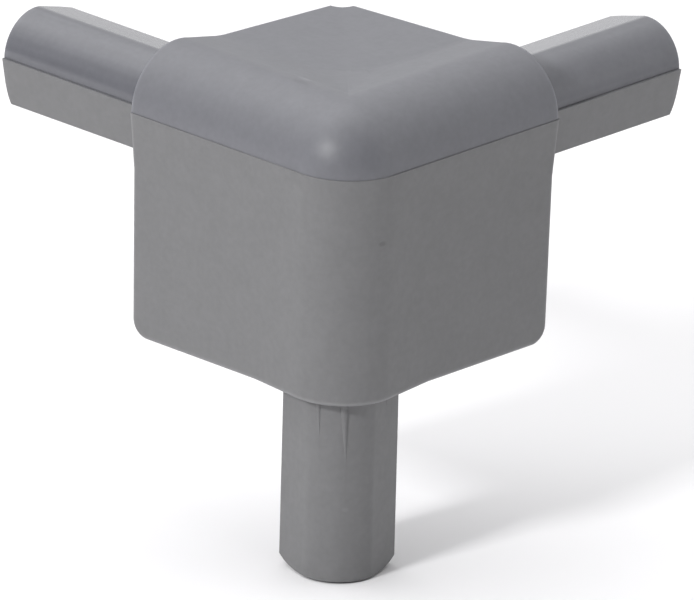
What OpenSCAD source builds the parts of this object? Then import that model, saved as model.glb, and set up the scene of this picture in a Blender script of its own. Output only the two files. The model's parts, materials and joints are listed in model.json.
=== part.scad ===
// Three-way case corner, moulded in one piece.
// A rounded corner body carries three legs that plug into the hollow beads of three edge profiles.
// The origin is where the three leg axes cross: the right leg runs to +X, the left leg to +Y
// and the down leg to -Z, so the outer corner of the case points to -X, -Y and +Z.

/* [Body] */
// Distance from a leg axis to the seat face that the edge profile butts against
seat_reach = 31.7; // [26:0.1:45]
// Radius of the rounded outer edges, centred on the leg axes
bead_r = 8.3; // [7.6:0.1:9.5]
// Distance from a leg axis to the line where a sloping skirt meets its panel
skirt_end = 8.2; // [7.6:0.1:9.5]
// Slope of the skirts that run from the beads down to the top panel, in degrees
top_skirt_slope = 11.5; // [6:0.5:14]
// Slope of the skirts that run from the beads in to the side panels, in degrees
side_skirt_slope = 6.4; // [3:0.2:9]
// Fall of the top panel away from the beads, in degrees
top_fall = 2.5; // [0:0.1:3]
// Radius of the hollow blend between a top skirt and the top panel
skirt_blend_r = 20; // [8:1:30]
// Half angle of the flat cone that blends the two top skirts where they meet, in degrees
valley_cone = 74; // [62:1:78]
// Fall of the side panels away from the top beads, in degrees
side_fall = 1.25; // [0:0.05:2]
// Draft of the upright bead below the parting line, in degrees
bead_draft = 0.7; // [0.2:0.1:1.5]
// How far the lower half of the moulding stands proud at the parting line
parting_step = 0.12; // [0.05:0.01:0.3]

/* [Inside] */
// Distance from a leg axis to the inner face of a panel
panel_inside = 3.8; // [2.5:0.1:4.2]
// Radius of the hollow's inner corners
hollow_r = 1.6; // [0.8:0.1:3]
// Radius of the free lower corners of the side panels
free_corner_r = 2.5; // [1:0.1:5]
// Radius of the notch in the free corner of the top panel
notch_r = 2.2; // [1:0.1:4]

/* [Legs] */
// Length of a leg beyond its seat face
leg_length = 25.8; // [15:0.1:50]
// Radius of a leg's round outer side
leg_r = 5.75; // [5:0.05:6.6]
// Distance from a leg axis to its two flat inner sides
leg_inside = 6.65; // [6:0.05:7.2]
// Slope of a leg's flanks, in degrees
flank_slope = 14.75; // [11:0.25:18]
// How far past the round's top line the flank starts, in degrees
flank_start = 7.2; // [4:0.2:9]
// Width of the ledge along the parting line of the level legs
ledge = 0.4; // [0.1:0.05:0.8]
// Slope of the level legs' lower flanks under the ledge, in degrees
lower_flank_slope = 11; // [6:0.5:14]
// Radius of the flat at the tips of the level legs, inside the rounding of their edges
level_tip_flat = 6.2; // [4:0.1:7]
// Radius of the flat at the tip of the down leg
down_tip_flat = 4; // [3:0.1:7]

/* [Crush ribs on the down leg] */
// Radius of the longest rib where it leaves the body
rib_r = 0.6; // [0.4:0.05:0.8]
// Length of the longest rib
rib_length = 8.5; // [3:0.5:14]
// How far a rib leans to one side, as a share of its taper, so that it never overhangs its own root
rib_lean = 0.9; // [0:0.1:0.9]

/* [Hidden] */
$fn = 96;
plastic_grey = [0.53, 0.53, 0.54];

// A skirt or flank lies this far under its round's tangent, so that the two cross in a clean line
tangent_sink = 0.03;
// Solids that are joined run this far into each other
overlap = 0.4;
// Cutting tools reach this far past what they cut
clear = 5;
// Each rib's turn round the leg from its outermost line, in degrees, and its share of the longest rib's size
ribs = [[-33, 0.65], [2, 1], [79, 0.4]];
// Radius of a rib's tip as a share of its root, and how deep the rib's axis lies in the leg
rib_tip = 0.15;

// Bead and panel section of the upper half: start of the skirt, kink and panel edge
top_skirt_r = bead_r - tangent_sink;
top_skirt_start = top_skirt_r * [sin(top_skirt_slope), cos(top_skirt_slope)];
top_kink_z = (top_skirt_r - skirt_end * sin(top_skirt_slope)) / cos(top_skirt_slope);
top_edge_z = top_kink_z - (seat_reach - skirt_end) * tan(top_fall);

// Hollow blend at the kink: its reach to each side of the kink and the centre of its arc
blend_half_turn = (top_skirt_slope - top_fall) / 2;
blend_reach = skirt_blend_r * tan(blend_half_turn);
blend_tilt = (top_skirt_slope + top_fall) / 2;
blend_centre_away = skirt_blend_r / cos(blend_half_turn) - tangent_sink / 2;

// Blend where the two top skirts meet: the cone's tip, the rise of its axis and the way it leaves a skirt
valley_tip = [top_skirt_start.x, top_skirt_start.x, top_skirt_start.y];
valley_run = sin(top_skirt_slope) / sqrt(2);
valley_rise = asin(sin(valley_cone) / norm([valley_run, cos(top_skirt_slope)]))
    - atan2(valley_run, cos(top_skirt_slope));
valley_side = cos(valley_rise) / sqrt(2);
valley_turn = atan2(valley_side, valley_side - sin(valley_cone) * sin(top_skirt_slope));

// The same for the lower half, which is proud by the parting step
low_bead_r = bead_r + parting_step;
side_skirt_r = low_bead_r - tangent_sink;
side_skirt_start = -side_skirt_r * [cos(side_skirt_slope), sin(side_skirt_slope)];
side_kink_x = (side_skirt_r - skirt_end * sin(side_skirt_slope)) / cos(side_skirt_slope);
side_edge_x = side_kink_x - (seat_reach - skirt_end) * tan(side_fall);

// Upright bead at the lower seat face
foot_bead_r = low_bead_r - seat_reach * tan(bead_draft);

// Leg section: distance of the flanks from the leg axis, and where the lower flank ends
flank_away = leg_r * cos(flank_slope - flank_start);
lower_flank_end = leg_r + ledge - leg_inside * tan(lower_flank_slope);

// Distance from a leg axis to the inner corner of its section, with room for the rounding to run out
leg_corner = leg_inside * sqrt(2) + overlap;

// Half of a plane, as one large square above or below the parting line
module half_plane(up) {
    size = 4 * seat_reach;
    translate([-size / 2, up ? 0 : -size])
        square(size);
}

// Upper half of the section that the edge profile and the corner share
module upper_section() {
    intersection() {
        circle(bead_r);
        half_plane(up = true);
    }
    polygon([
        [0, 0],
        [seat_reach, 0],
        [seat_reach, top_edge_z],
        [skirt_end, top_kink_z],
        top_skirt_start,
    ]);
    skirt_blend();
}

// Hollow arc that fills the kink between a top skirt and the top panel
module skirt_blend() {
    translate([skirt_end, top_kink_z])
        difference() {
            polygon([
                blend_reach * [-cos(top_skirt_slope), sin(top_skirt_slope)],
                [0, -overlap],
                blend_reach * [cos(top_fall), -sin(top_fall)],
            ]);
            translate(blend_centre_away * [sin(blend_tilt), cos(blend_tilt)])
                circle(skirt_blend_r);
        }
}

// Fill between the two top skirts, hollowed by a flat cone that runs out into both of them
module valley_blend() {
    reach = skirt_end + seat_reach / 2;
    translate(valley_tip)
        difference() {
            translate([0, 0, -bead_r / 2])
                linear_extrude(bead_r / 2)
                    polygon([
                        [0, 0],
                        reach * [sin(valley_turn), cos(valley_turn)],
                        reach * [cos(valley_turn), sin(valley_turn)],
                    ]);
            translate([0, 0, -tangent_sink])
                rotate([0, 90 - valley_rise, 45])
                    cylinder(h = reach, r1 = 0, r2 = reach * tan(valley_cone));
        }
}

// Lower half of the same section, down to the lower seat face
module lower_section() {
    intersection() {
        circle(low_bead_r);
        half_plane(up = false);
    }
    polygon([
        [0, 0],
        side_skirt_start,
        [-side_kink_x, -skirt_end],
        [-side_edge_x, -seat_reach],
        [seat_reach, -seat_reach],
        [seat_reach, 0],
    ]);
}

// Carries a drawing of the section plane to a prism along +Y between two distances
module along_left(from, to) {
    translate([0, to, 0])
        rotate([90, 0, 0])
            linear_extrude(to - from)
                children();
}

// Repeats what runs along the left edge for the right edge
module both_sides() {
    children();
    mirror([1, -1, 0])
        children();
}

// Half space inside a plane that leans in towards its foot: face_turn is the way the plane faces
module leaning_half_space(face_turn, distance, lean) {
    size = 8 * seat_reach;
    rotate([0, 0, face_turn])
        translate([distance, 0, 0])
            rotate([0, lean, 0])
                translate([-size, -size / 2, -size / 2])
                    cube(size);
}

// Upright bead with its dome and the two skirts that run from it and die out inside the side panels
module upright_bead() {
    skirt_run = 2 * (bead_r + skirt_end);
    chord = side_skirt_r * (cos(side_skirt_slope) - sin(side_skirt_slope)) / sqrt(2);
    chord_lean = atan(chord / side_skirt_r * tan(bead_draft));
    sphere(bead_r);
    translate([0, 0, -seat_reach])
        cylinder(h = seat_reach, r1 = foot_bead_r, r2 = low_bead_r);
    intersection() {
        leaning_half_space(180 - side_skirt_slope, side_skirt_r, bead_draft);
        leaning_half_space(270 + side_skirt_slope, side_skirt_r, bead_draft);
        leaning_half_space(225, chord, chord_lean);
        translate([-2 * bead_r, -2 * bead_r, -seat_reach])
            cube([skirt_run, skirt_run, seat_reach]);
    }
}

// Square drawing that reaches away from a rounded corner at the origin
module from_round_corner(r, size) {
    translate([r, r])
        circle(r);
    translate([r, 0])
        square(size);
    translate([0, r])
        square(size);
}

// The hollow behind the top panel, between the two level bars
module hollow_behind_top() {
    translate([skirt_end, skirt_end, -seat_reach - clear])
        linear_extrude(seat_reach + clear + panel_inside)
            from_round_corner(hollow_r, 2 * seat_reach);
}

// The hollow behind the left side panel, between the upright bar and the left bar
module hollow_behind_left() {
    translate([-panel_inside, skirt_end, -skirt_end])
        rotate([0, 90, 0])
            linear_extrude(2 * seat_reach)
                from_round_corner(hollow_r, 2 * seat_reach);
}

// Takes the square corner off the left side panel
module left_free_corner() {
    translate([-2 * bead_r, seat_reach - free_corner_r, free_corner_r - seat_reach])
        rotate([0, 90, 0])
            linear_extrude(2 * bead_r)
                difference() {
                    square(free_corner_r + clear);
                    circle(free_corner_r);
                }
}

// Corner body: two level edges, the upright bead and the hollow behind the three panels
module corner_body() {
    difference() {
        union() {
            both_sides() {
                along_left(0, seat_reach)
                    upper_section();
                along_left(0, seat_reach)
                    lower_section();
            }
            upright_bead();
            valley_blend();
        }
        hollow_behind_top();
        both_sides() {
            hollow_behind_left();
            left_free_corner();
        }
        translate([seat_reach, seat_reach, -clear])
            cylinder(h = seat_reach, r = notch_r);
    }
}

// Everything on the inner side of a leg's upper flank
module inside_flank() {
    size = 8 * leg_inside;
    rotate(-flank_slope)
        translate([-size / 2, flank_away - size])
            square(size);
}

// Section of every leg: round outer side, a sloping flank on each hand and two flat inner sides
module leg_section() {
    block = leg_r * cos(flank_slope);
    intersection() {
        union() {
            circle(leg_r);
            translate([0, -leg_inside])
                square([leg_inside, leg_inside + block]);
            translate([-block, -leg_inside])
                square([block + leg_inside, leg_inside]);
        }
        inside_flank();
        mirror([1, 1])
            inside_flank();
    }
}

// Lower half of a level leg's section, wider than the upper half by the ledge
module ledge_section() {
    polygon([
        [-leg_r - ledge, 0],
        [-lower_flank_end, -leg_inside],
        [0, -leg_inside],
        [0, 0],
    ]);
}

// Prism of a drawing whose far end is rounded as if turned about the leg axis
module round_tipped(length, flat_r) {
    round_r = leg_corner - flat_r;
    intersection() {
        linear_extrude(length)
            children();
        rotate_extrude() {
            square([flat_r, length]);
            square([leg_corner, length - round_r]);
            intersection() {
                translate([flat_r, length - round_r])
                    circle(round_r);
                translate([overlap, 0])
                    square([leg_corner, length]);
            }
        }
    }
}

// A level leg, along +Y from inside the body
module left_leg() {
    root = seat_reach - overlap;
    translate([0, root, 0])
        rotate([-90, 0, 0])
            mirror([0, 1, 0])
                round_tipped(leg_length + overlap, level_tip_flat) {
                    leg_section();
                    ledge_section();
                }
}

// The leg that points down, with its round side to the outer corner
module down_leg() {
    root = -seat_reach + overlap;
    translate([0, 0, root])
        mirror([0, 0, 1])
            mirror([0, 1, 0])
                round_tipped(leg_length + overlap, down_tip_flat)
                    leg_section();
}

// Distance from the leg axis to its round or its flank, at a turn from the outermost line
function leg_reach(turn) =
    abs(turn) < 45 + flank_start ? leg_r : flank_away / cos(abs(turn) - 45 - flank_slope);

// Tapered ribs that bed into the bead of the upright profile
module crush_ribs() {
    outer_turn = 225;
    for (rib = ribs) {
        length = rib_length * rib[1] + overlap;
        root_r = rib_r * rib[1];
        tip_r = root_r * rib_tip;
        lean = atan(rib_lean * (root_r - tip_r) / length);
        rotate([0, 0, outer_turn + rib[0]])
            translate([leg_reach(rib[0]) - tip_r, 0, -seat_reach + overlap])
                rotate([180 + lean, 0, 0])
                    cylinder(h = length, r1 = root_r, r2 = tip_r);
    }
}

module case_corner() {
    color(plastic_grey) {
        corner_body();
        both_sides()
            left_leg();
        down_leg();
        crush_ribs();
    }
}

case_corner();
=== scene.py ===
# %% [markdown]
# # A moulded case corner
# The object is one plastic moulding: a rounded corner with three panels, and three legs that plug into
# the edge profiles of a case. It could be modelled here from a cube, but its solid is already made at its
# real size. So this lesson starts from that solid and gives it what a solid model lacks: soft edges, a
# moulded finish, light, and the view of the photograph. The right leg runs to +X, the left leg to +Y and
# the down leg to -Z. The box of the solid is kept: it gives the reach of the leg tips and the level of the
# table. The box of the solid is kept, because nothing here may change its size.

# %% Load the solid
import json
import math

import bmesh
import bpy
from mathutils import Matrix, Vector

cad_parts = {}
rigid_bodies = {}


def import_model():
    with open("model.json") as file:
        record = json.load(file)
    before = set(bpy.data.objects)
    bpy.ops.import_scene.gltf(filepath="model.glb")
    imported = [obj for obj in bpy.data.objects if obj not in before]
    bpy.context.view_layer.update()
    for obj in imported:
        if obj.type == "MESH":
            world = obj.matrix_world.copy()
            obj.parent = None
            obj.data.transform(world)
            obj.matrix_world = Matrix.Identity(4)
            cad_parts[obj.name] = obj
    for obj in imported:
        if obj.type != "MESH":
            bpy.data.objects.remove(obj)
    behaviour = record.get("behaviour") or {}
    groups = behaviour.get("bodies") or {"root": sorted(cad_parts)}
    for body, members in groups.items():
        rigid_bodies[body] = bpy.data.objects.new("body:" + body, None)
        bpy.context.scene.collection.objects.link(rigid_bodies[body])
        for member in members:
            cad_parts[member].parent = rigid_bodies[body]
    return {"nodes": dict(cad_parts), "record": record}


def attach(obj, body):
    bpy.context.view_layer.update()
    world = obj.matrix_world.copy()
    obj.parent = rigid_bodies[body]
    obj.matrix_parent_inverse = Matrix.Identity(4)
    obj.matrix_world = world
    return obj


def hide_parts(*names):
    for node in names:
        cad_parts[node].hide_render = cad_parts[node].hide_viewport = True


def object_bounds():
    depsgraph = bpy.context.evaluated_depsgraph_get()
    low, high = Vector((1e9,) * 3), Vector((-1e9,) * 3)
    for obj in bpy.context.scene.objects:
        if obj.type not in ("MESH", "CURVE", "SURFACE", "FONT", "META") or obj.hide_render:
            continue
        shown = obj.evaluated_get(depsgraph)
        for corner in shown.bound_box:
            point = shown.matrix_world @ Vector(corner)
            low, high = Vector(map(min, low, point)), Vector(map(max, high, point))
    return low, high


for stray in list(bpy.data.objects):
    bpy.data.objects.remove(stray)
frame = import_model()
solid_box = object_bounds()
solid = frame["nodes"]["case_corner"]
mm = 0.001
print("solid:", len(solid.data.vertices), "points, size in mm",
      [round(side / mm, 1) for side in solid_box[1] - solid_box[0]])

# %% [markdown]
# ## Camera
# The picture was taken from far away with a long lens: edges that are parallel on the part stay parallel
# in it. A camera could be aimed at the part by eye, but then each small turn also moves the part about in
# the picture. Here the camera is set by what can be measured in the picture: the two angles it looks from,
# its small tilt, the scale at the point where the leg axes cross, and the place of that point. Where the
# camera stands follows from these.

# %% Place the camera
PICTURE_WIDTH = 694
PICTURE_HEIGHT = 600
VIEW_TURN = math.radians(-46.65)
VIEW_RISE = math.radians(20.73)
VIEW_TILT = math.radians(1.486)
PIXELS_PER_MM = 7.648
FOCAL_PIXELS = 20000
CROSSING_PIXEL = (347.32, 159.14)
SENSOR_WIDTH = 36
CLIP_DISTANCES = 4


def camera_axes(turn, rise, tilt):
    """Right, up and back directions of a camera that looks at the part."""
    back = Vector((math.sin(turn) * math.cos(rise), -math.cos(turn) * math.cos(rise), math.sin(rise)))
    level_right = Vector((math.cos(turn), math.sin(turn), 0))
    level_up = back.cross(level_right)
    right = level_right * math.cos(tilt) + level_up * math.sin(tilt)
    up = level_up * math.cos(tilt) - level_right * math.sin(tilt)
    return right, up, back


def place_camera():
    right, up, back = camera_axes(VIEW_TURN, VIEW_RISE, VIEW_TILT)
    aside = (PICTURE_WIDTH / 2 - CROSSING_PIXEL[0]) / PIXELS_PER_MM
    above = (CROSSING_PIXEL[1] - PICTURE_HEIGHT / 2) / PIXELS_PER_MM
    away = FOCAL_PIXELS / PIXELS_PER_MM
    lens = bpy.data.cameras.new("camera")
    lens.sensor_fit = "HORIZONTAL"
    lens.sensor_width = SENSOR_WIDTH
    lens.lens = FOCAL_PIXELS * SENSOR_WIDTH / PICTURE_WIDTH
    lens.clip_end = CLIP_DISTANCES * away * mm
    camera = bpy.data.objects.new("camera", lens)
    turn = Matrix((right, up, back)).transposed().to_4x4()
    place = (right * aside + up * above + back * away) * mm
    camera.matrix_world = Matrix.Translation(place) @ turn
    bpy.context.collection.objects.link(camera)
    bpy.context.scene.camera = camera
    return camera


camera = place_camera()
print("camera at", [round(c, 3) for c in camera.location], "m, lens", round(camera.data.lens), "mm")

# %% [markdown]
# ## Two mould halves
# The part was moulded between two mould halves that meet in the level plane through the leg axes. The
# parting line runs round the part in that plane: the lower half stands proud by a hair, and the edge of
# the upper half is slightly rounded over it, which leaves a fine dark line. Such a line could be painted
# in the material, but it would have no depth and would look the same in any light. So the skin is cut
# there, and each half is closed with a lid. Both halves can then have their own small edge radius.

# %% Cut the skin at the parting plane
WELD_DISTANCE = 0.02 * mm
FLAT_ANGLE = math.radians(0.4)
PARTING_BAND = 0.01 * mm


def on_parting_plane(piece):
    """Whether an edge or a face lies in the parting plane."""
    return all(abs(point.co.z) < PARTING_BAND for point in piece.verts)


def mould_half(mesh, upper):
    """The welded skin above or below the parting plane, closed with a lid."""
    half = bmesh.new()
    half.from_mesh(mesh)
    bmesh.ops.remove_doubles(half, verts=half.verts, dist=WELD_DISTANCE)
    bmesh.ops.dissolve_limit(half, angle_limit=FLAT_ANGLE, verts=half.verts, edges=half.edges)
    ledges = [face for face in half.faces if on_parting_plane(face)]
    bmesh.ops.delete(half, geom=ledges, context="FACES")
    everything = [*half.verts, *half.edges, *half.faces]
    bmesh.ops.bisect_plane(half, geom=everything, dist=PARTING_BAND, plane_co=(0, 0, 0),
                           plane_no=(0, 0, 1), clear_inner=upper, clear_outer=not upper)
    bmesh.ops.delete(half, geom=[edge for edge in half.edges if edge.is_wire], context="EDGES")
    rim = [edge for edge in half.edges if edge.is_boundary]
    bmesh.ops.holes_fill(half, edges=rim, sides=0)
    bmesh.ops.recalc_face_normals(half, faces=half.faces)
    open_edges = sum(not edge.is_manifold for edge in half.edges)
    print("upper" if upper else "lower", "half:", len(half.faces), "faces,",
          len(rim), "edges round the lid,", open_edges, "open edges")
    return half


halves = {upper: mould_half(solid.data, upper) for upper in (True, False)}

# %% [markdown]
# ## Soft edges
# A mould has no perfectly sharp edge, and its small edge radius is what catches the light along the rims
# of the part. It could be rounded in the solid, but there it makes many small faces that are slow to build
# and to test. In Blender a bevel can round just the edges that carry a weight, so the edges are first told
# apart by where they lie. Three kinds are left out: the crush ribs on the down leg, which are round
# already, and the leg tips and the inner corner, where short edges lie too close together for a radius.

# %% Tell the edges apart
SHARP_ANGLE = math.radians(32)
HOLLOW_ANGLE = math.radians(10)
LONG_EDGE = 5 * mm
SLIVER_WIDTH = 0.04 * mm
RIB_ZONE = 10 * mm
TIP_ZONE = 4 * mm
INNER_CORNER_START = 7 * mm
INNER_CORNER_END = 10 * mm
mounts = {mount["name"]: Vector(mount["pos_m"]) for mount in frame["record"]["mounts"]}
seat_reach = mounts["right_seat"].x
tip_reach = solid_box[1].x


def leg_reaches(point):
    """How far a point lies along the right, the left and the down leg."""
    return point.co.x, point.co.y, -point.co.z


def is_leg_edge(edge):
    return any(max(leg_reaches(end)) > seat_reach + PARTING_BAND for end in edge.verts)


def is_rib_edge(edge):
    heights = [end.co.z + seat_reach for end in edge.verts]
    return max(heights) < PARTING_BAND and min(heights) > -RIB_ZONE and min(heights) < -PARTING_BAND


def is_tip_edge(edge):
    return all(max(leg_reaches(end)) > tip_reach - TIP_ZONE for end in edge.verts)


def is_inner_corner(edge):
    reaches = [reach for end in edge.verts for reach in leg_reaches(end)]
    return min(reaches) > INNER_CORNER_START and max(reaches) < INNER_CORNER_END


def is_sliver(face):
    longest = max(edge.calc_length() for edge in face.edges)
    return longest > LONG_EDGE and face.calc_area() < SLIVER_WIDTH * longest


def is_smooth(edge):
    if is_rib_edge(edge) and edge.is_convex:
        return True
    return edge.calc_face_angle(0) < (SHARP_ANGLE if edge.is_convex else HOLLOW_ANGLE)


for upper, half in halves.items():
    sharp_edges = sum(not is_smooth(edge) for edge in half.edges)
    print("upper" if upper else "lower", "half:", sharp_edges, "sharp edges")

# %% [markdown]
# Each outward edge now gets a weight in one of two sets: the rims, and the finer edges along the parting
# line. A weight is a share of the set's radius, so that the legs can be crisper than the body. Weights
# could also be set by hand in edit mode, but a rule finds the same edges again when the solid is built
# anew. The two halves are then joined into one mesh, because on the real part they are one piece.

# %% Weigh the edges
LEG_SHARE = 0.25
GROOVE_SHARE = 0.5
LEDGE_SHARE = 0.9
LIP_SHARE = 1.1
SHORT_EDGE = 0.1 * mm
OUTWARD = -0.3


def parting_share(edge, upper):
    """How much of the parting line's edge radius an edge in the parting plane gets."""
    wall = min(edge.link_faces, key=lambda face: abs(face.normal.z))
    if min(wall.normal.x, wall.normal.y) > OUTWARD:
        return 0.0
    if upper:
        return GROOVE_SHARE
    return LEDGE_SHARE if is_leg_edge(edge) else LIP_SHARE


def weigh_edges(half, upper):
    rim = half.edges.layers.float.new("rim_edge")
    line = half.edges.layers.float.new("parting_edge")
    for edge in half.edges:
        edge.smooth = is_smooth(edge) or any(is_sliver(face) for face in edge.link_faces)
        if edge.smooth or not edge.is_convex or edge.calc_length() < SHORT_EDGE:
            continue
        if on_parting_plane(edge):
            edge[line] = parting_share(edge, upper)
        elif not is_tip_edge(edge) and not is_inner_corner(edge):
            edge[rim] = LEG_SHARE if is_leg_edge(edge) else 1.0
    for face in half.faces:
        face.smooth = True
    print("edges:", sum(edge[rim] > 0 for edge in half.edges), "on rims,",
          sum(edge[line] > 0 for edge in half.edges), "on the parting line")


def join_halves():
    """One mesh of both halves; the solid's own shading normals no longer fit it and go."""
    skin = bmesh.new()
    for upper, half in halves.items():
        weigh_edges(half, upper)
        shell = bpy.data.meshes.new("half")
        half.to_mesh(shell)
        half.free()
        skin.from_mesh(shell)
        bpy.data.meshes.remove(shell)
    joined = bpy.data.meshes.new("case_corner_moulding")
    skin.to_mesh(joined)
    skin.free()
    joined.attributes.remove(joined.attributes["custom_normal"])
    return joined


moulding = bpy.data.objects.new("case_corner_moulding", join_halves())
bpy.context.collection.objects.link(moulding)

# %% [markdown]
# Two Bevel modifiers round the two sets. The rims also get a material index of their own on the way, which
# is then turned into a named mark on their faces, so that a painted highlight can be laid on them. A painted
# mask would do the same, but it would have to be painted again after each change. A Weighted Normal modifier
# keeps flat faces flat in the shading. The result is kept as plain mesh, so that the mark can be read.

# %% Round the edges
RIM_RADIUS = 0.45 * mm
PARTING_RADIUS = 0.085 * mm
EDGE_STEPS = 3
PLAIN_INDEX = 0
# the rim faces get an index of their own, which marks them for the painted highlight
RIM_HIGHLIGHT_INDEX = 1


def round_edges(piece):
    sets = (("rim_edge", RIM_RADIUS, RIM_HIGHLIGHT_INDEX), ("parting_edge", PARTING_RADIUS, PLAIN_INDEX))
    for name, radius, index in sets:
        bevel = piece.modifiers.new(name, "BEVEL")
        bevel.width = radius
        bevel.segments = EDGE_STEPS
        bevel.limit_method = "WEIGHT"
        bevel.edge_weight = name
        bevel.material = index
        bevel.use_clamp_overlap = False
    even = piece.modifiers.new("even shading", "WEIGHTED_NORMAL")
    even.keep_sharp = True


def keep_rounded(piece):
    """Turns the modifiers into mesh, and the rims' material index into a mark for the painted highlight."""
    while len(piece.data.materials) <= RIM_HIGHLIGHT_INDEX:
        piece.data.materials.append(None)
    shape = piece.evaluated_get(bpy.context.evaluated_depsgraph_get())
    rounded = bpy.data.meshes.new_from_object(shape)
    rim_highlight = rounded.attributes.new("rim_highlight", "FLOAT", "FACE")
    rim_highlight.data.foreach_set("value", [float(face.material_index) for face in rounded.polygons])
    rounded.polygons.foreach_set("material_index", [PLAIN_INDEX] * len(rounded.polygons))
    piece.modifiers.clear()
    piece.data = rounded
    on_rims = sum(mark.value > 0 for mark in rim_highlight.data)
    print("rounded:", len(rounded.polygons), "faces,", on_rims, "of them on rims")


round_edges(moulding)
keep_rounded(moulding)
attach(moulding, "root")
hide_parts("case_corner")

# %% [markdown]
# ## Plastic
# The part is moulded in one grey plastic, so it gets one material. A material is a tree of nodes. It could
# be wired by hand in the shader editor, but a tree of this size is easier to follow as text. Four small
# helpers therefore add a node, a sum, a ramp and a blend, and each hands back the socket that the next
# node takes up.

# %% Start the plastic
PLASTIC_IOR = 1.5

plastic = bpy.data.materials.new("satin_plastic")
plastic.use_nodes = True
plastic_tree = plastic.node_tree
shader = plastic_tree.nodes["Principled BSDF"]
shader.inputs["IOR"].default_value = PLASTIC_IOR


def add_node(tree, kind, values, **settings):
    """A node with its settings; each named or numbered input is linked to a socket or set to a value."""
    node = tree.nodes.new(kind)
    for name, setting in settings.items():
        setattr(node, name, setting)
    sockets = [socket for socket in node.inputs if socket.enabled]
    for key, value in values.items():
        socket = sockets[key] if isinstance(key, int) else node.inputs[key]
        if isinstance(value, bpy.types.NodeSocket):
            tree.links.new(value, socket)
        else:
            socket.default_value = value
    return next(socket for socket in node.outputs if socket.enabled)


def calculate(tree, operation, *numbers):
    return add_node(tree, "ShaderNodeMath", dict(enumerate(numbers)), operation=operation)


def ramp(tree, value, low, high, start=0.0, end=1.0):
    """Runs from start to end while the value runs from low to high."""
    return add_node(tree, "ShaderNodeMapRange",
                    {"Value": value, "From Min": low, "From Max": high, "To Min": start, "To Max": end})


def blend(tree, kind, factor, first, second, **settings):
    return add_node(tree, "ShaderNodeMix", {0: factor, 1: first, 2: second}, data_type=kind, **settings)


print("plastic starts with", len(plastic_tree.nodes), "nodes")

# %% [markdown]
# The mould leaves three finishes: matt and neutral below the parting line, satin and a little cooler above
# it, and smooth on top of the level legs, which are polished so that they slide into the profiles. They
# could be three materials on chosen faces. Here they are zones of one material, cut by position on the
# part: each zone then ends exactly at the mould's edge, however the faces lie, and the part stays one
# piece of one plastic.

# %% Zones of the finish
LOWER_GREY = (0.175, 0.175, 0.179, 1)
UPPER_GREY = (0.159, 0.161, 0.178, 1)
LEG_GREY = (0.138, 0.140, 0.157, 1)
LOWER_ROUGH = 0.6
UPPER_ROUGH = 0.47
LEG_ROUGH = 0.24
ZONE_EDGE = 0.02 * mm
LEG_WAYS = {"left": ("Y", 1), "right": ("X", 1), "down": ("Z", -1)}

place = plastic_tree.nodes.new("ShaderNodeTexCoord").outputs["Object"]
split = plastic_tree.nodes.new("ShaderNodeSeparateXYZ")
plastic_tree.links.new(place, split.inputs[0])
along = split.outputs
upper_zone = ramp(plastic_tree, along["Z"], -ZONE_EDGE, ZONE_EDGE)
leg_zones = {
    leg: ramp(plastic_tree, along[way], sign * seat_reach, sign * (seat_reach + ZONE_EDGE))
    for leg, (way, sign) in LEG_WAYS.items()
}
level_legs = calculate(plastic_tree, "MAXIMUM", leg_zones["left"], leg_zones["right"])
top_grey = blend(plastic_tree, "RGBA", level_legs, UPPER_GREY, LEG_GREY)
zone_grey = blend(plastic_tree, "RGBA", upper_zone, LOWER_GREY, top_grey)
top_rough = ramp(plastic_tree, level_legs, 0, 1, UPPER_ROUGH, LEG_ROUGH)
zone_rough = blend(plastic_tree, "FLOAT", upper_zone, LOWER_ROUGH, top_rough)
print("plastic zones at z = 0 and at", round(seat_reach / mm, 2), "mm along the legs")

# %% [markdown]
# The grey is never quite even. The melt leaves slow clouds, the texture of the mould leaves a fine mottle,
# and drawing the part out of the mould leaves streaks along its legs. A picture of plastic could be laid
# over the part, but it would have to be unwrapped and would show seams. A noise is worked out from the
# place on the part and has none. Each noise here is a factor round 1 that multiplies the grey, and for the
# streaks it is stretched along the leg it lies on.

# %% Clouds, mottle and streaks
CLOUD_SIZE = 3 * mm
CLOUD_SPREAD = 0.025
MOTTLE_SIZE = 0.9 * mm
MOTTLE_SPREAD = 0.035
STREAK_WIDTH = 1.8 * mm
STREAK_STRETCH = 0.03
STREAKS = {
    "left": dict(spread=0.09, stretch=(1, STREAK_STRETCH, 1)),
    "right": dict(spread=0.04, stretch=(STREAK_STRETCH, 1, 1)),
    "down": dict(spread=0.02, stretch=(1, 1, STREAK_STRETCH)),
}
NOISE_LOW = 0.3
NOISE_HIGH = 0.7


def uneven(size, spread, stretch=(1, 1, 1)):
    """A factor round 1 that varies over the part with the given size and spread."""
    where = add_node(plastic_tree, "ShaderNodeVectorMath", {0: place, 1: stretch}, operation="MULTIPLY")
    noise = add_node(plastic_tree, "ShaderNodeTexNoise", {"Vector": where, "Scale": 1 / size})
    return ramp(plastic_tree, noise, NOISE_LOW, NOISE_HIGH, 1 - spread, 1 + spread)


clouds = uneven(CLOUD_SIZE, CLOUD_SPREAD)
tone = calculate(plastic_tree, "MULTIPLY", clouds, uneven(MOTTLE_SIZE, MOTTLE_SPREAD))
for leg, settings in STREAKS.items():
    drawn = leg_zones[leg]
    if leg != "down":
        drawn = calculate(plastic_tree, "MULTIPLY", drawn, upper_zone)
    streaks = blend(plastic_tree, "FLOAT", drawn, 1.0, uneven(STREAK_WIDTH, **settings))
    tone = calculate(plastic_tree, "MULTIPLY", tone, streaks)
print("uneven grey from clouds, mottle and the streaks of", len(STREAKS), "legs")

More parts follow.
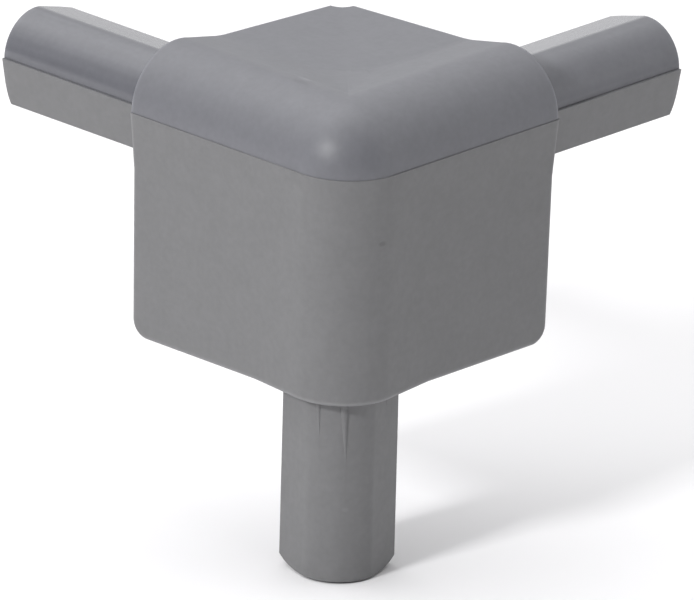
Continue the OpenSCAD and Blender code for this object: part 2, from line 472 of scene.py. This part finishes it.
# %% [markdown]
# The rims are made lighter, as a painted highlight for the bright line that light draws along the edges
# where the part stands out: most of all on the edge of the body beside each leg, and at the tips of the
# level legs. The edges could be found by the angle between the faces, but that also marks edges that
# show no such line. The mark on the rims and the distance along each leg tell exactly where it is painted.

# %% Painted highlight along the rims
# painted highlight: how much lighter the rims, the bands beside the legs and the leg tips are made
RIM_HIGHLIGHT = 1.06
HIGHLIGHT_BAND_WIDTH = 0.75 * mm
BAND_HIGHLIGHT = 1.2
TIP_HIGHLIGHT_LENGTH = 0.8 * mm
TIP_HIGHLIGHT = 1.15

rim_highlight_mark = plastic_tree.nodes.new("ShaderNodeAttribute")
rim_highlight_mark.attribute_name = "rim_highlight"
rim_highlight_tone = ramp(plastic_tree, rim_highlight_mark.outputs["Fac"], 0, 1, 1, RIM_HIGHLIGHT)
tone = calculate(plastic_tree, "MULTIPLY", tone, rim_highlight_tone)
# painted highlight in a band on the body's edge beside each leg
for leg, (way, sign) in LEG_WAYS.items():
    highlight_start = sign * (seat_reach - HIGHLIGHT_BAND_WIDTH)
    highlight_full = sign * (seat_reach - HIGHLIGHT_BAND_WIDTH / 2)
    rub = ramp(plastic_tree, along[way], highlight_start, highlight_full, 1.0, BAND_HIGHLIGHT)
    rub = blend(plastic_tree, "FLOAT", leg_zones[leg], rub, 1.0)
    tone = calculate(plastic_tree, "MULTIPLY", tone, rub)
# painted highlight near the tips of the level legs
for way in ("X", "Y"):
    tip = ramp(plastic_tree, along[way], tip_reach - TIP_HIGHLIGHT_LENGTH, tip_reach, 1.0, TIP_HIGHLIGHT)
    tone = calculate(plastic_tree, "MULTIPLY", tone, tip)
print("painted highlight bands", HIGHLIGHT_BAND_WIDTH / mm, "mm wide beside", len(LEG_WAYS), "legs")

# %% [markdown]
# A few single marks are seen on the photographed part: a dark speck near the upright edge, a pale rub with
# a dark edge on the top, and a faint rub on the down leg. They could be painted on an image that is wrapped
# round the part. So few marks need none: each is a small soft ball in space, drawn out to the length of
# the mark, and the grey takes another tone where the ball cuts the skin.

# %% Single marks
MARK_CORE = 0.4
MARKS = {
    "speck": dict(at=(-1.53, -8.16, -9.2), size=(0.75, 0.5, 0.45), tone=0.78),
    "pale rub": dict(at=(1.85, 9.7, 8.08), size=(0.7, 1.5, 0.4), tone=1.25),
    "dark edge of the rub": dict(at=(0.3, 9.0, 8.29), size=(0.8, 1.7, 0.4), tone=0.88),
    "faint rub": dict(at=(-3.52, -4.54, -47.02), size=(0.6, 0.6, 0.4), tone=1.12),
}

for mark in MARKS.values():
    middle = tuple(c * mm for c in mark["at"])
    reach = tuple(c * mm for c in mark["size"])
    away = add_node(plastic_tree, "ShaderNodeVectorMath", {0: place, 1: middle}, operation="SUBTRACT")
    away = add_node(plastic_tree, "ShaderNodeVectorMath", {0: away, 1: reach}, operation="DIVIDE")
    far = plastic_tree.nodes.new("ShaderNodeVectorMath")
    far.operation = "LENGTH"
    plastic_tree.links.new(away, far.inputs[0])
    spot = ramp(plastic_tree, far.outputs["Value"], MARK_CORE, 1.0, mark["tone"], 1.0)
    tone = calculate(plastic_tree, "MULTIPLY", tone, spot)
print("marks:", ", ".join(MARKS))

# %% [markdown]
# The mould is finely textured, and the plastic takes that grain over: it is felt more than seen, and keeps
# the highlights soft. It could be real geometry by way of displacement, but a grain of a few thousandths of
# a millimetre would take millions of faces. A Bump node is enough, because nobody sees its height from the
# side. The grey, the roughness and the grain then go into the shader.

# %% Grain, and all of it into the shader
GRAIN_SIZE = 0.18 * mm
GRAIN_HEIGHT = 0.004 * mm
grain = add_node(plastic_tree, "ShaderNodeTexNoise", {"Vector": place, "Scale": 1 / GRAIN_SIZE})
bump = add_node(plastic_tree, "ShaderNodeBump", {"Height": grain, "Distance": GRAIN_HEIGHT})
grey = blend(plastic_tree, "RGBA", 1.0, zone_grey, tone, blend_type="MULTIPLY")
plastic_tree.links.new(grey, shader.inputs["Base Color"])
plastic_tree.links.new(zone_rough, shader.inputs["Roughness"])
plastic_tree.links.new(bump, shader.inputs["Normal"])
moulding.data.materials.clear()
moulding.data.materials.append(plastic)
print("plastic has", len(plastic_tree.nodes), "nodes")

# %% [markdown]
# ## Table
# The part was photographed on a white table, of which only the shadow shows. The background could be left
# empty and the table hidden but for its shadow. A plain white plane under the foot of the down leg does
# more: it fills the picture, takes the shadow, and throws light up under the part as the real one does. It
# is matt and has no gloss, so that it mirrors nothing.

# %% White table
TABLE_HALF = 0.6
TABLE_WHITE = (0.893, 0.888, 0.901, 1)
TABLE_ROUGH = 0.9


def build_table():
    level = solid_box[0].z
    mesh = bpy.data.meshes.new("table")
    corners = [(-1, -1), (1, -1), (1, 1), (-1, 1)]
    mesh.from_pydata([(x * TABLE_HALF, y * TABLE_HALF, level) for x, y in corners], [], [(0, 1, 2, 3)])
    table = bpy.data.objects.new("table", mesh)
    bpy.context.collection.objects.link(table)
    material = bpy.data.materials.new("white_table")
    material.use_nodes = True
    matt = material.node_tree.nodes["Principled BSDF"]
    matt.inputs["Base Color"].default_value = TABLE_WHITE
    matt.inputs["Roughness"].default_value = TABLE_ROUGH
    matt.inputs["Specular IOR Level"].default_value = 0
    mesh.materials.append(material)
    return table


table = build_table()
print("table at", round(solid_box[0].z / mm, 1), "mm")

# %% [markdown]
# ## Light
# The part stood in soft light that comes mostly from behind and above, with little from the side of the
# camera. A room could be built round it from walls and large lamps, but their edges would be mirrored as
# bands in the rounded plastic. Here the world itself is the room: an even level for the walls, and on top
# of it a few soft lobes of light without any edge. A lobe has a direction (its turn from +X towards +Y and
# its rise, in degrees), a focus and a level.

# %% Soft room
BROAD = 8
MEDIUM = 20
NARROW = 40
ROOM_LEVEL = 0.03
ROOM_LOBES = {
    "top": dict(turn=45, rise=85, focus=BROAD, level=1.43),
    "high back": dict(turn=45, rise=52, focus=BROAD, level=1.09),
    "high back left": dict(turn=110, rise=52, focus=BROAD, level=2.08),
    "high right": dict(turn=-20, rise=52, focus=BROAD, level=0.79),
    "low left": dict(turn=165, rise=16, focus=BROAD, level=0.1),
    "low right": dict(turn=-35, rise=16, focus=BROAD, level=0.73),
    "middle back": dict(turn=45, rise=34, focus=MEDIUM, level=0.39),
    "middle back left": dict(turn=85, rise=34, focus=MEDIUM, level=0.37),
    "near right": dict(turn=-50, rise=10, focus=MEDIUM, level=0.66),
    "far table": dict(turn=45, rise=0, focus=NARROW, level=1.28),
}


def pointing(turn, rise):
    turn = math.radians(turn)
    rise = math.radians(rise)
    return Vector((math.cos(turn) * math.cos(rise), math.sin(turn) * math.cos(rise), math.sin(rise)))


def light_room(room_level, lobes):
    """A world of white light: an even level for the walls and soft lobes on top of it."""
    world = bpy.data.worlds.new("white_room")
    world.use_nodes = True
    tree = world.node_tree
    way = tree.nodes.new("ShaderNodeTexCoord").outputs["Generated"]
    level = room_level
    for lobe in lobes.values():
        facing = tree.nodes.new("ShaderNodeVectorMath")
        facing.operation = "DOT_PRODUCT"
        tree.links.new(way, facing.inputs[0])
        facing.inputs[1].default_value = pointing(lobe["turn"], lobe["rise"])
        ahead = calculate(tree, "MAXIMUM", facing.outputs["Value"], 0.0)
        glow = calculate(tree, "POWER", ahead, lobe["focus"])
        level = calculate(tree, "MULTIPLY_ADD", glow, lobe["level"], level)
    background = tree.nodes["Background"]
    background.inputs["Color"].default_value = (1, 1, 1, 1)
    tree.links.new(level, background.inputs["Strength"])
    bpy.context.scene.world = world


light_room(ROOM_LEVEL, ROOM_LOBES)
print("room of", len(ROOM_LOBES), "lobes of light")

# %% [markdown]
# One lamp on the left throws the shadow to the right. A sun lamp could do that, but it has no place, and
# its light would be equally strong all over the table. A small rectangle at a distance is like the lamp of
# a photographer: its shadow is crisp at the foot, grows softer further off, and the light falls off across
# the table. How bright it would make a white card sets its power, which is easier to judge than watts.

# %% Key lamp
KEY_LAMP = dict(turn=178.7, rise=31.5, away=1.2, width=0.2, height=0.17, level=0.604)


def hang_softbox(name, turn, rise, away, width, height, level):
    """A rectangular lamp that faces the part; level is how bright it makes a white card that faces it."""
    data = bpy.data.lights.new(name, "AREA")
    data.shape = "RECTANGLE"
    data.size = width
    data.size_y = height
    data.energy = level * (math.pi * away) ** 2
    lamp = bpy.data.objects.new(name, data)
    way = pointing(turn, rise)
    lamp.location = way * away
    lamp.rotation_euler = way.to_track_quat("Z", "Y").to_euler()
    bpy.context.collection.objects.link(lamp)
    return lamp


key_lamp = hang_softbox("key", **KEY_LAMP)
bpy.context.scene.view_settings.view_transform = "Standard"
print("key lamp of", round(key_lamp.data.energy, 2), "watts")
